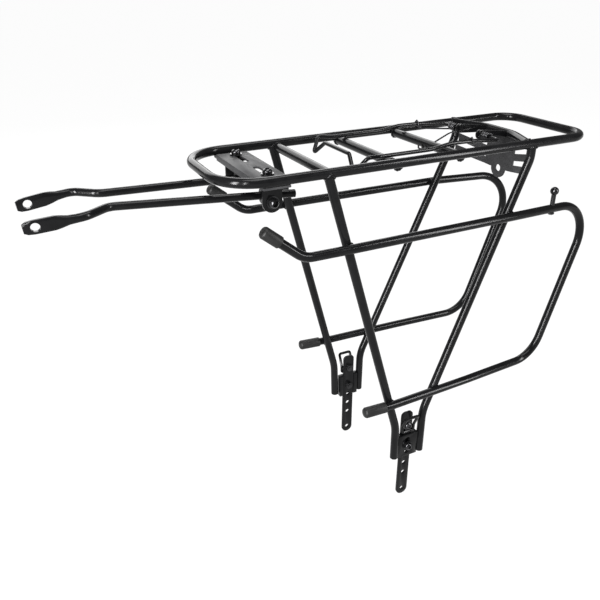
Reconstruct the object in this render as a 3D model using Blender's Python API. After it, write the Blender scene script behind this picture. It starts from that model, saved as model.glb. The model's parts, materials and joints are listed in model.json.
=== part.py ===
# Rear luggage carrier for a bicycle: a rod platform on two V-shaped legs per
# side, pannier side rails, sprung clip, adjustable front stays and foot straps.
# Frame: +X towards the rear of the bicycle, +Y to its right, +Z up, metres.
# All working numbers below are in millimetres, measured from the centre of the
# front platform rod (X) and the middle plane (Y), Z = 0 at the platform rods'
# centre plane. place() moves them into the part's frame.
import bpy
import bmesh
import math
from mathutils import Vector, Matrix

# ---------------------------------------------------------------- dimensions
ROD_R = 5.0              # frame rods, legs and side rails: 10 mm rod
GAP = 0.3                # clearance between touching pieces
PLAT_L = 448.4           # platform length, rod centre to rod centre
PLAT_W = 67.5            # half width, middle plane to side rod centre
CORNER_F, CORNER_R = 44.0, 27.0
CROSS_X = (110.4, 187.9, 266.9)
CROSS_Z = -3.6                          # cross rods sit lower than the platform rod
BOW_END_X, BOW_MID_X, BOW_MID_Y = 357.5, 373.0, 25.0

FLEG_TOP = (106.3, 66.6)
FLEG_LOW = (197.0, 78.4, -328.0)
FLEG_END = (198.2, 77.6, -375.5)
RLEG_TOP = (362.4, 66.6)
RLEG_BEND = (362.6, 66.3, -17.5)
RLEG_LOW = (237.5, 76.2, -317.5)
RLEG_END = (237.2, 76.4, -377.0)

SIDE_TOP_Z, SIDE_LOW_Z = -77.6, -286.8
SIDE_REAR_X, SIDE_REAR_LOW_X = 478.0, 412.0

STRAP_W, STRAP_T = 16.0, 3.0
STRAP_X, STRAP_Y = 217.0, 72.9
STRAP_TOP, STRAP_BOT = -314.0, -446.0
STRAP_HOLES = (-377.5, -393.5, -409.5, -437.0)
HOOK_BOLT_Z, SLIDE_BOLT_Z = -332.5, -362.5

PLATE_X0, PLATE_X1, PLATE_TOP, PLATE_T = 34.0, 68.0, -0.5, 2.2
SLOT_X, SLOT_Y0, SLOT_Y1, SLOT_W = 52.5, 10.5, 47.5, 6.6
BRK_BOLT_Y = 42.0

STAY_R = 4.0
STAY_DIR = (150.0, 11.6, -7.84)       # runs back, outwards and down
STAY_AT0 = (0.0, 29.4, -20.84)        # the stay's centre line at X = 0
CLAMP_X = 53.0
BRK_HALF = 10.4                         # bracket half width along X
CLAMP_DROP = 2.0                       # clamp bolt below the stay's centre

CLIP_R = 2.2
CLIP_X, CLIP_Z = 328.0, 4.0            # clip pivot axis, parallel to Y
CLIP_Y = 50.5

OX = 147.855                             # centre of the overall length
OZ = 446.0                             # underside of the foot straps
TUBE_N, WIRE_N, THIN_N = 12, 8, 6


def place(p):
    return Vector(((p[0] - OX) / 1000.0, p[1] / 1000.0, (p[2] + OZ) / 1000.0))


def stay_at(x, side):
    t = (x - STAY_AT0[0]) / STAY_DIR[0]
    return Vector((x, side * (STAY_AT0[1] + STAY_DIR[1] * t), STAY_AT0[2] + STAY_DIR[2] * t))


# ------------------------------------------------------------------- scene
for ob in list(bpy.data.objects):
    bpy.data.objects.remove(ob, do_unlink=True)

MATS = {}


def material(name, colour, rough, metal):
    m = bpy.data.materials.new(name)
    m.use_nodes = True
    b = m.node_tree.nodes.get("Principled BSDF")
    b.inputs["Base Color"].default_value = (colour[0], colour[1], colour[2], 1.0)
    b.inputs["Roughness"].default_value = rough
    b.inputs["Metallic"].default_value = metal
    m.diffuse_color = (colour[0], colour[1], colour[2], 1.0)
    MATS[name] = m
    return m


COAT = material("black_powder_coat", (0.018, 0.018, 0.019), 0.38, 0.0)
PLATE = material("grey_coated_plate", (0.10, 0.10, 0.105), 0.42, 0.2)
RUBBER = material("black_rubber", (0.02, 0.02, 0.02), 0.7, 0.0)
BOLT = material("black_zinc", (0.06, 0.06, 0.062), 0.3, 0.9)
SPRING = material("spring_steel", (0.10, 0.10, 0.105), 0.3, 1.0)


def add(name, bm, mat, pivot=None, smooth=True):
    """Turn a millimetre bmesh into a named object whose origin is pivot."""
    o = place(pivot) if pivot is not None else Vector((0, 0, 0))
    bm.transform(Matrix.Translation(Vector((-OX, 0, OZ))))
    bm.transform(Matrix.Scale(0.001, 4))
    bm.transform(Matrix.Translation(-o))
    bmesh.ops.recalc_face_normals(bm, faces=bm.faces)
    me = bpy.data.meshes.new(name)
    bm.to_mesh(me)
    bm.free()
    ob = bpy.data.objects.new(name, me)
    bpy.context.scene.collection.objects.link(ob)
    ob.location = o
    me.materials.append(mat)
    if smooth:
        me.shade_smooth()
        me.set_sharp_from_angle(angle=math.radians(40))
    return ob


def cut(ob, bm, operation='DIFFERENCE'):
    """Boolean the object with a helper solid given in millimetres."""
    bm.transform(Matrix.Translation(Vector((-OX, 0, OZ))))
    bm.transform(Matrix.Scale(0.001, 4))
    bmesh.ops.recalc_face_normals(bm, faces=bm.faces)
    me = bpy.data.meshes.new(ob.name + "_tool")
    bm.to_mesh(me)
    bm.free()
    tool = bpy.data.objects.new("tool_" + ob.name, me)
    bpy.context.scene.collection.objects.link(tool)
    tool.hide_render = True
    tool.display_type = 'WIRE'
    m = ob.modifiers.new("bool", 'BOOLEAN')
    m.operation = operation
    m.solver = 'EXACT'
    m.object = tool
    return tool


# ------------------------------------------------------------ path helpers
def fillet(points, radii, step=15.0, closed=False):
    """Polyline with its inner corners rounded to the given radii."""
    P = [Vector(p) for p in points]
    out = []
    n = len(P)
    for i in range(n):
        if not closed and i in (0, n - 1):
            out.append(P[i])
            continue
        a, p, b = P[i - 1], P[i], P[(i + 1) % n]
        u, v = (p - a).normalized(), (b - p).normalized()
        th = u.angle(v)
        r = radii[i] if isinstance(radii, (list, tuple)) else radii
        if th < 1e-4 or r <= 0:
            out.append(p)
            continue
        t = r * math.tan(th / 2)
        nrm = (v - u * math.cos(th)).normalized()
        s = p - u * t
        c = s + nrm * r
        k = max(2, int(math.ceil(math.degrees(th) / step)))
        for j in range(k + 1):
            f = th * j / k
            out.append(c - nrm * r * math.cos(f) + u * r * math.sin(f))
    return out


def frames(P, closed, ends=(None, None)):
    n = len(P)
    T = []
    for i in range(n):
        if closed:
            a, b = P[i - 1], P[(i + 1) % n]
            t = (P[i] - a).normalized() + (b - P[i]).normalized()
        elif i == 0:
            t = P[1] - P[0]
        elif i == n - 1:
            t = P[-1] - P[-2]
        else:
            t = (P[i] - P[i - 1]).normalized() + (P[i + 1] - P[i]).normalized()
        T.append(t.normalized())
    if ends[0]:
        T[0] = Vector(ends[0])
    if ends[1]:
        T[-1] = Vector(ends[1])
    up = Vector((0, 0, 1)) if abs(T[0].z) < 0.9 else Vector((0, 1, 0))
    nrm = (up - T[0] * up.dot(T[0])).normalized()
    F = []
    for i in range(n):
        nrm = (nrm - T[i] * nrm.dot(T[i])).normalized()
        F.append((nrm.copy(), T[i].cross(nrm)))
    return F


def sweep(bm, P, r, sides, closed=False, shape=None, ends=(None, None)):
    """Round rod along P. shape(i) may give (half along n, half along b, power);
    ends give the directions square to which the two ends are cut."""
    F = frames(P, closed, ends)
    rings = []
    for i, p in enumerate(P):
        n, b = F[i]
        ra, rb, pw = shape(i) if shape else (r, r, 1.0)
        ring = []
        for k in range(sides):
            a = 2 * math.pi * (k + 0.5) / sides
            ca, sa = math.cos(a), math.sin(a)
            ca = math.copysign(abs(ca) ** pw, ca)
            sa = math.copysign(abs(sa) ** pw, sa)
            ring.append(bm.verts.new(p + n * (ra * ca) + b * (rb * sa)))
        rings.append(ring)
    m = len(rings)
    for i in range(m if closed else m - 1):
        A, B = rings[i], rings[(i + 1) % m]
        for k in range(sides):
            bm.faces.new((A[k], A[(k + 1) % sides], B[(k + 1) % sides], B[k]))
    if not closed:
        bm.faces.new(list(reversed(rings[0])))
        bm.faces.new(rings[-1])
    return rings


def rod(name, pts, mat, r=ROD_R, sides=TUBE_N, closed=False, pivot=None, shape=None, ends=(None, None)):
    bm = bmesh.new()
    sweep(bm, pts, r, sides, closed, shape, ends)
    return add(name, bm, mat, pivot)


def turned(bm, origin, axis, profile, sides=16):
    """Solid of revolution. profile: (distance along axis, radius) with radius
    0 allowed only at its ends; a closed ring profile when it never is 0."""
    ax = Vector(axis).normalized()
    up = Vector((0, 0, 1)) if abs(ax.z) < 0.9 else Vector((1, 0, 0))
    n = (up - ax * up.dot(ax)).normalized()
    b = ax.cross(n)
    o = Vector(origin)
    rows = []
    for h, r in profile:
        if r == 0:
            rows.append([bm.verts.new(o + ax * h)])
        else:
            rows.append([bm.verts.new(o + ax * h + n * (r * math.cos(2 * math.pi * (k + 0.5) / sides))
                                      + b * (r * math.sin(2 * math.pi * (k + 0.5) / sides))) for k in range(sides)])
    ring = profile[0][1] != 0 and profile[-1][1] != 0
    cnt = len(rows) if ring else len(rows) - 1
    for i in range(cnt):
        A, B = rows[i], rows[(i + 1) % len(rows)]
        for k in range(sides):
            k2 = (k + 1) % sides
            if len(A) == 1:
                bm.faces.new((A[0], B[k], B[k2]))
            elif len(B) == 1:
                bm.faces.new((A[k], B[0], A[k2]))
            else:
                bm.faces.new((A[k], B[k], B[k2], A[k2]))


def prism(bm, outline, a0, a1, axis):
    """Extrude a closed 2-D outline between two stations along X, Y or Z.
    outline holds the other two coordinates in X, Y, Z order."""
    def pt(q, a):
        if axis == 'X':
            return (a, q[0], q[1])
        if axis == 'Y':
            return (q[0], a, q[1])
        return (q[0], q[1], a)
    A = [bm.verts.new(pt(q, a0)) for q in outline]
    B = [bm.verts.new(pt(q, a1)) for q in outline]
    n = len(outline)
    bm.faces.new(list(reversed(A)))
    bm.faces.new(B)
    for k in range(n):
        bm.faces.new((A[k], A[(k + 1) % n], B[(k + 1) % n], B[k]))


def box(bm, lo, hi):
    prism(bm, [(lo[0], lo[1]), (hi[0], lo[1]), (hi[0], hi[1]), (lo[0], hi[1])], lo[2], hi[2], 'Z')


def arc(cx, cy, r, a0, a1, n):
    return [(cx + r * math.cos(math.radians(a0 + (a1 - a0) * i / n)),
             cy + r * math.sin(math.radians(a0 + (a1 - a0) * i / n))) for i in range(n + 1)]


def slot_outline(cx, y0, y1, w, n=6):
    """Long hole along the second coordinate with round ends."""
    r = w / 2
    return arc(cx, y1 - r, r, 0, 180, n) + arc(cx, y0 + r, r, 180, 360, n)


def circle(cx, cy, r, n=16):
    return [(cx + r * math.cos(2 * math.pi * (k + 0.5) / n), cy + r * math.sin(2 * math.pi * (k + 0.5) / n)) for k in range(n)]


def dome_head(bm, origin, axis, r, h, shank_r, shank_l, sides=16, n=4):
    """Button head standing on origin along axis, shank running the other way."""
    prof = [(-shank_l, 0), (-shank_l, shank_r), (0.0, shank_r), (0.0, r), (h * 0.25, r)]
    for i in range(1, n):
        a = math.pi / 2 * i / n
        prof.append((h * 0.25 + h * 0.75 * math.sin(a), r * math.cos(a)))
    prof.append((h, 0))
    turned(bm, origin, axis, prof, sides)


def washer(bm, origin, axis, ri, ro, t, sides=16):
    turned(bm, origin, axis, [(0, ri), (0, ro), (t, ro), (t, ri)], sides)


def hex_nut(bm, origin, axis, af, ri, h):
    """Hexagon nut with a round bore, six flats and a chamfered outer face."""
    ax = Vector(axis).normalized()
    up = Vector((0, 0, 1)) if abs(ax.z) < 0.9 else Vector((1, 0, 0))
    n = (up - ax * up.dot(ax)).normalized()
    b = ax.cross(n)
    o = Vector(origin)
    ro = af / math.sqrt(3)
    sides = 12

    def hexr(a):
        s = math.radians(30)
        m = (a + s) % (2 * s) - s
        return (af / 2) / math.cos(m)
    rows = []
    for h0, kind in ((0, 'i'), (0, 'o'), (h * 0.82, 'o'), (h, 'c'), (h, 'i')):
        row = []
        for k in range(sides):
            a = 2 * math.pi * k / sides
            if kind == 'i':
                r = ri
            elif kind == 'o':
                r = hexr(a)
            else:
                r = min(hexr(a), ro * 0.88)
            row.append(bm.verts.new(o + ax * h0 + n * (r * math.cos(a)) + b * (r * math.sin(a))))
        rows.append(row)
    for i in range(5):
        A, B = rows[i], rows[(i + 1) % 5]
        for k in range(sides):
            k2 = (k + 1) % sides
            bm.faces.new((A[k], B[k], B[k2], A[k2]))


SIDES = (("left", -1), ("right", 1))

# ---------------------------------------------------------------- platform
loop = fillet([(0, -PLAT_W, 0), (PLAT_L, -PLAT_W, 0), (PLAT_L, PLAT_W, 0), (0, PLAT_W, 0)],
              [CORNER_F, CORNER_R, CORNER_R, CORNER_F], 15, closed=True)
rod("platform_loop", loop, COAT, closed=True)

inner = PLAT_W - ROD_R - GAP
for nm, x in zip(("front_cross_rod", "middle_cross_rod", "third_cross_rod"), CROSS_X):
    rod(nm, [Vector((x, -inner, CROSS_Z)), Vector((x, inner, CROSS_Z))], COAT)
bow = fillet([(BOW_END_X, -inner, 0), (BOW_MID_X, -BOW_MID_Y, 0), (BOW_MID_X, BOW_MID_Y, 0), (BOW_END_X, inner, 0)],
             [0, 55, 55, 0], 8)
rod("bowed_rear_rod", bow, COAT, ends=((0, 1, 0), (0, 1, 0)))

# -------------------------------------------------------------- side rails
CAP_R = 6.4
RAIL_PATHS = {}
PIN = (401.0, -74.2, -79.2)
UP_TIP, LOW_TIP = Vector((30.5, 76.3, -43.0)), Vector((146.0, 85.4, -284.6))
UP_P0 = Vector((73.5, 79.4, SIDE_TOP_Z))
for nm, s in SIDES:
    def m(v):
        return Vector((v[0], s * v[1], v[2]))
    d_up = (UP_P0 - UP_TIP).normalized()
    d_low = (Vector((185.0, 84.4, SIDE_LOW_Z)) - LOW_TIP).normalized()
    start = UP_TIP + d_up * 3.3
    end = LOW_TIP + d_low * 3.3
    pts = [m(start), m(UP_P0), m((127.0, 80.1, SIDE_TOP_Z)), m((345.0, 78.2, SIDE_TOP_Z - 0.4)),
           m((SIDE_REAR_X, 68.5, SIDE_TOP_Z - 4.0)), m((SIDE_REAR_LOW_X, 73.0, SIDE_LOW_Z)),
           m((300.0, 79.8, SIDE_LOW_Z)), m((248.0, 82.0, SIDE_LOW_Z)), m((185.0, 84.4, SIDE_LOW_Z)), m(end)]
    rr = [0, 27, 0, 220, 45, 40, 300, 0, 0, 0]
    path = fillet(pts, rr, 15)
    RAIL_PATHS[nm] = [[m((100.0, 79.85, SIDE_TOP_Z)), m((127.0, 80.1, SIDE_TOP_Z)), m((318.0, 78.44, SIDE_TOP_Z - 0.35)), m((352.0, 77.9, SIDE_TOP_Z - 0.5))],
                      [m((160.0, 84.85, SIDE_LOW_Z + 1.35)), m((185.0, 84.4, SIDE_LOW_Z)), m((248.0, 82.0, SIDE_LOW_Z)), m((275.0, 80.86, SIDE_LOW_Z))]]
    rail = rod(nm + "_side_rail", path, COAT)
    if s < 0:
        bm = bmesh.new()
        turned(bm, (PIN[0], PIN[1], PIN[2] - 12), (0, 0, 1), [(0, 0), (0, 3.1), (24, 3.1), (24, 0)], 12)
        cut(rail, bm)
    for which, tip, dr, ln in (("upper", UP_TIP, d_up, 22.0), ("lower", LOW_TIP, d_low, 29.0)):
        bm = bmesh.new()
        turned(bm, m(tip), m(dr), [(0, 0), (0, CAP_R * 0.55), (1.0, CAP_R * 0.86), (2.6, CAP_R),
                                   (ln, CAP_R), (ln, ROD_R + GAP), (3.0, ROD_R + GAP), (3.0, 0)], 16)
        add("%s_%s_end_cap" % (nm, which), bm, RUBBER)

# -------------------------------------------------------------------- legs
for nm, s in SIDES:
    p = fillet([(FLEG_TOP[0], s * FLEG_TOP[1], -ROD_R - GAP), (FLEG_LOW[0], s * FLEG_LOW[1], FLEG_LOW[2]),
                (FLEG_END[0], s * FLEG_END[1], FLEG_END[2])], [0, 70, 0], 5)
    fp = [Vector(q) for q in p]
    fleg = rod(nm + "_front_leg", p, COAT, ends=((0, 0, -1), (0, 0, -1)))
    p = fillet([(RLEG_TOP[0], s * RLEG_TOP[1], -ROD_R - GAP), (RLEG_BEND[0], s * RLEG_BEND[1], RLEG_BEND[2]),
                (RLEG_LOW[0], s * RLEG_LOW[1], RLEG_LOW[2]), (RLEG_END[0], s * RLEG_END[1], RLEG_END[2])],
               [0, 24, 60, 0], 6)
    rleg = rod(nm + "_rear_leg", p, COAT, ends=((0, 0, -1), (0, 0, -1)))
    bm = bmesh.new()
    sweep(bm, [fp[0] + (fp[0] - fp[1]).normalized() * 9.0] + fp, ROD_R + 2 * GAP, TUBE_N)
    cut(bpy.data.objects["front_cross_rod"], bm)
    # saddle cuts where the side rail is welded on the outside of the legs
    for leg in (fleg, rleg):
        bm = bmesh.new()
        sweep(bm, RAIL_PATHS[nm][0], ROD_R + GAP, TUBE_N)
        cut(leg, bm)
        bm = bmesh.new()
        sweep(bm, RAIL_PATHS[nm][1], ROD_R + GAP, TUBE_N)
        cut(leg, bm)

# ball-headed pin through the left upper rail
bm = bmesh.new()
prof = [(-ROD_R - 2.6, 0), (-ROD_R - 2.6, 2.6), (-ROD_R - 1.6, 3.9), (-ROD_R - 0.4, 3.9), (-ROD_R - 0.4, 2.75),
        (16.6, 2.75)]
ball_c, ball_r = 21.0, 5.0
a0 = math.asin(2.75 / ball_r)
for i in range(0, 7):
    a = a0 + (math.pi - a0) * i / 6
    if i < 6:
        prof.append((ball_c - ball_r * math.cos(a), ball_r * math.sin(a)))
prof.append((ball_c + ball_r, 0))
turned(bm, PIN, (0, 0, 1), prof, 12)
add("ball_pin", bm, BOLT)

# -------------------------------------------------------------- stay plate
bm = bmesh.new()
zt, zb = PLATE_TOP, PLATE_TOP - PLATE_T
lip = 6.4
prism(bm, [(PLATE_X0, zt), (PLATE_X0, zt - lip), (PLATE_X0 + PLATE_T, zt - lip), (PLATE_X0 + PLATE_T, zb),
           (PLATE_X1 - PLATE_T, zb), (PLATE_X1 - PLATE_T, zt - lip), (PLATE_X1, zt - lip), (PLATE_X1, zt)],
      -52.5, 52.5, 'Y')
plate = add("stay_plate", bm, PLATE, smooth=False)
for s in (-1, 1):
    tab_top = -ROD_R - 0.4
    bm = bmesh.new()
    outl = [(s * 50, zt - 0.2), (s * 53.2, zt - 0.2), (s * 59.0, tab_top), (s * 69.0, tab_top),
            (s * 69.0, tab_top - PLATE_T), (s * 58.0, tab_top - PLATE_T), (s * 52.4, zb + 0.2), (s * 50, zb + 0.2)]
    prism(bm, outl, PLATE_X0 + 3.0, PLATE_X1 - 3.0, 'X')
    cut(plate, bm, 'UNION')
for s in (-1, 1):
    bm = bmesh.new()
    y0, y1 = (SLOT_Y0, SLOT_Y1) if s > 0 else (-SLOT_Y1, -SLOT_Y0)
    prism(bm, slot_outline(SLOT_X, y0, y1, SLOT_W), zt + 3, zb - 3, 'Z')
    cut(plate, bm)

# ------------------------------------------ stay brackets, clamps and stays
WEB_T = 2.5
FL_TOP = zb - GAP
for nm, s in SIDES:
    yb = s * BRK_BOLT_Y
    web_in, web_out = 49.2, 51.7
    c = stay_at(CLAMP_X, s)
    zc = c.z - CLAMP_DROP
    # bracket: flange under the plate, web hanging on its outer side
    bm = bmesh.new()
    web = [(CLAMP_X - BRK_HALF, FL_TOP - 0.1)] + arc(CLAMP_X, zc, BRK_HALF, 180, 360, 10) + [(CLAMP_X + BRK_HALF, FL_TOP - 0.1)]
    prism(bm, web, s * web_in, s * web_out, 'Y')
    brk = add(nm + "_stay_bracket", bm, COAT, pivot=(SLOT_X, yb, FL_TOP))
    bm = bmesh.new()
    box(bm, (CLAMP_X - BRK_HALF, min(s * 33.0, s * web_out), FL_TOP - WEB_T), (CLAMP_X + BRK_HALF, max(s * 33.0, s * web_out), FL_TOP))
    cut(brk, bm, 'UNION')
    bm = bmesh.new()
    prism(bm, circle(SLOT_X, yb, 3.2, 12), FL_TOP + 3, FL_TOP - WEB_T - 3, 'Z')
    cut(brk, bm)
    bm = bmesh.new()
    prism(bm, circle(CLAMP_X, zc, 3.1, 12), s * (web_in - 3), s * (web_out + 3), 'Y')
    cut(brk, bm)
    # its bolt, washer and nut
    bm = bmesh.new()
    washer(bm, (SLOT_X, yb, zt + GAP), (0, 0, 1), 3.1, 6.4, 1.1)
    add(nm + "_bracket_washer", bm, BOLT, pivot=(SLOT_X, yb, FL_TOP))
    bm = bmesh.new()
    dome_head(bm, (SLOT_X, yb, zt + GAP + 1.1 + GAP), (0, 0, 1), 4.9, 4.6, 2.7, 14.5, 12)
    add(nm + "_bracket_bolt", bm, BOLT, pivot=(SLOT_X, yb, FL_TOP))
    bm = bmesh.new()
    hex_nut(bm, (SLOT_X, yb, FL_TOP - WEB_T - GAP), (0, 0, -1), 10.0, 3.1, 4.6)
    add(nm + "_bracket_nut", bm, BOLT, pivot=(SLOT_X, yb, FL_TOP))
    # stay clamp: an eye round the stay with a threaded shank through the web
    pv = (CLAMP_X, s * web_in, zc)
    ax = Vector((STAY_DIR[0], s * STAY_DIR[1], STAY_DIR[2])).normalized()
    half = 4.5
    bm = bmesh.new()
    turned(bm, c - ax * half, ax, [(0, STAY_R + GAP), (0, 7.6), (2 * half, 7.6), (2 * half, STAY_R + GAP)], 16)
    eye = add(nm + "_stay_clamp", bm, COAT, pivot=pv)
    bm = bmesh.new()
    y_eye, y_web = abs(c.y) + 5.4, web_in - GAP
    turned(bm, (CLAMP_X, s * y_eye, zc), (0, s, 0), [(0, 0), (0, 4.3), (y_web - y_eye, 4.3), (y_web - y_eye, 2.7),
                                                     (56.0 - y_eye, 2.7), (56.0 - y_eye, 0)], 12)
    cut(eye, bm, 'UNION')
    bm = bmesh.new()
    washer(bm, (CLAMP_X, s * (web_out + GAP), zc), (0, s, 0), 3.1, 6.6, 1.2)
    add(nm + "_clamp_washer", bm, BOLT, pivot=pv)
    bm = bmesh.new()
    turned(bm, (CLAMP_X, s * (web_out + 1.2 + 2 * GAP), zc), (0, s, 0),
           [(0, 3.0), (0, 5.1), (2.6, 5.1), (4.6, 3.9), (5.6, 2.2), (5.9, 0), (4.6, 0), (4.2, 3.0)][:1] +
           [(0, 5.1), (2.6, 5.1), (4.6, 3.9), (5.4, 3.0)], 12)
    add(nm + "_clamp_nut", bm, BOLT, pivot=pv)
    # the stay
    A = stay_at(84.0, s)
    B = stay_at(-95.5, s)
    C = Vector((-118.5, s * 40.0, -15.6))
    D = Vector((-170.2, s * 33.2, -20.9))
    base = fillet([A, B, C, D], [0, 17, 17, 0], 12)
    head = base[:-1]
    d = (D - base[-2]).normalized()
    ln = (D - base[-2]).length
    extra = []
    for f in (0.16, 0.30, 0.42, 0.80, 0.93, 1.0):
        extra.append(base[-2] + d * (ln * f))
    P = head + extra
    nh = len(head)
    forms = {nh: (4.4, 3.6, 0.95), nh + 1: (5.8, 2.7, 0.7), nh + 2: (6.6, 2.2, 0.5), nh + 3: (6.6, 2.2, 0.5),
             nh + 4: (5.9, 2.2, 0.5), nh + 5: (4.2, 2.0, 0.5)}
    stay = rod(nm + "_stay", P, COAT, r=STAY_R, sides=12, pivot=(c.x, c.y, c.z),
               shape=lambda i, f=forms: f.get(i, (STAY_R, STAY_R, 1.0)))
    hc = D - d * 10.2
    bm = bmesh.new()
    turned(bm, (hc.x, hc.y - 6, hc.z), (0, 1, 0), [(0, 0), (0, 4.1), (12, 4.1), (12, 0)], 14)
    cut(stay, bm)

# ------------------------------------------------------------- spring clip
def clip_half(s):
    return [(CLIP_X, s * 13.5, CLIP_Z), (CLIP_X, s * CLIP_Y, CLIP_Z), (291.0, s * CLIP_Y, 7.2),
            (262.0, s * CLIP_Y, 7.8), (238.0, s * (CLIP_Y - 0.3), 4.0), (172.0, s * (CLIP_Y - 0.5), 4.0),
            (157.0, s * 54.0, 5.6), (146.0, s * 45.0, -10.6), (151.0, s * 26.5, 4.4)]


half_r = [0, 6, 40, 60, 60, 20, 5, 4.5, 5]
pr, pl = clip_half(1), clip_half(-1)
clip = rod("clip_wire", fillet(pr + list(reversed(pl)), half_r + list(reversed(half_r)), 22), COAT,
           r=CLIP_R, sides=WIRE_N, pivot=(CLIP_X, 0, CLIP_Z))

for nm, s in SIDES:
    # lug that carries the clip's pivot end
    bm = bmesh.new()
    ol = arc(CLIP_X, CLIP_Z, 5.4, 78, 278, 8) + [(BOW_MID_X - ROD_R - 0.5, -4.2), (BOW_MID_X - ROD_R - 0.5, 3.8)]
    prism(bm, ol, s * 17.0, s * 19.6, 'Y')
    lug = add(nm + "_clip_lug", bm, COAT)
    bm = bmesh.new()
    prism(bm, circle(CLIP_X, CLIP_Z, CLIP_R + GAP, 12), s * 14.0, s * 23.0, 'Y')
    cut(lug, bm)
    # torsion spring: coil on the pivot end, one leg to the third cross rod,
    # the other leg hooked over the clip's arm
    wr, cr, turns = 0.85, 3.7, 5.0
    seg = 9
    y_in, pitch = 24.5, 2.2
    pts = []
    # anchored leg: hook under the third cross rod, then back to the coil
    hx = CROSS_X[2]
    pts += [Vector((hx - 7.6, s * 3.6, CROSS_Z - 1.0)), Vector((hx - 7.2, s * 3.6, CROSS_Z - 5.0)),
            Vector((hx - 3.2, s * 3.8, CROSS_Z - 6.9)), Vector((hx + 6.0, s * 6.4, CROSS_Z - 6.2)),
            Vector((CLIP_X - 16.0, s * 19.4, CLIP_Z - 5.4))]
    total = turns + 0.02
    n = int(seg * total)
    for i in range(n + 1):
        a = math.radians(270) - 2 * math.pi * total * i / n
        y = y_in + pitch * total * i / n
        pts.append(Vector((CLIP_X + cr * math.cos(a), s * y, CLIP_Z + cr * math.sin(a))))
    ye = y_in + pitch * total
    xo = 289.0
    pts += [Vector((CLIP_X - 16.0, s * (ye + 2.6), CLIP_Z - 2.4)), Vector((xo + 6.0, s * (CLIP_Y - 5.6), 2.4)),
            Vector((xo, s * (CLIP_Y - 3.6), 4.0)), Vector((xo, s * (CLIP_Y - 3.0), 9.0)),
            Vector((xo, s * (CLIP_Y + 0.6), 11.2)), Vector((xo, s * (CLIP_Y + 3.6), 8.2))]
    rod(nm + "_clip_spring", pts, SPRING, r=wr, sides=THIN_N)

# ------------------------------------------------------- rear light bracket
LBX, LBT = 379.6, 1.8
LB_HALF = 24.0                          # flat middle part, half width
WING_Y = 60.8                           # where the arms meet the rear legs
WING_RISE = 9.5                         # how far the arms rise on the way
LB_TOP, LB_LOW, TAB_Z, TAB_R = -2.5, -45.5, -45.8, 12.0
tab = [(TAB_R * math.cos(math.radians(a)), TAB_Z + TAB_R * math.sin(math.radians(a))) for a in range(0, -181, -20)]
outline = [(-LB_HALF, LB_TOP), (LB_HALF, LB_TOP), (LB_HALF, LB_LOW), (TAB_R + 2.5, LB_LOW - 0.6)] + \
          [q for q in tab] + [(-TAB_R - 2.5, LB_LOW - 0.6), (-LB_HALF, LB_LOW)]
bm = bmesh.new()
prism(bm, outline, LBX - LBT / 2, LBX + LBT / 2, 'X')
lb = add("rear_light_bracket", bm, COAT, smooth=False)
for s in (-1, 1):
    for za, zc_, wing_x in ((-23.5, -32.0, 364.2), (-37.5, -45.6, 360.0)):
        bm = bmesh.new()
        dx, dy = wing_x - LBX, WING_Y - LB_HALF
        ln = math.hypot(dx, dy)
        nx, ny = dy / ln * LBT / 2, -dx / ln * LBT / 2
        back = 0.6
        ax_, ay_ = LBX - dx / ln * back, LB_HALF - dy / ln * back
        ol = [(ax_ + nx, s * (ay_ + ny)), (wing_x + nx, s * (WING_Y + ny)), (wing_x - nx, s * (WING_Y - ny)), (ax_ - nx, s * (ay_ - ny))]
        prism(bm, ol, za, zc_, 'Z')
        for v in bm.verts:
            v.co.z += WING_RISE * max(0.0, (abs(v.co.y) - LB_HALF) / (WING_Y - LB_HALF))
        cut(lb, bm, 'UNION')
bm = bmesh.new()
prism(bm, circle(0, TAB_Z, 4.3, 14), LBX - 5, LBX + 5, 'X')
cut(lb, bm)

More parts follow.
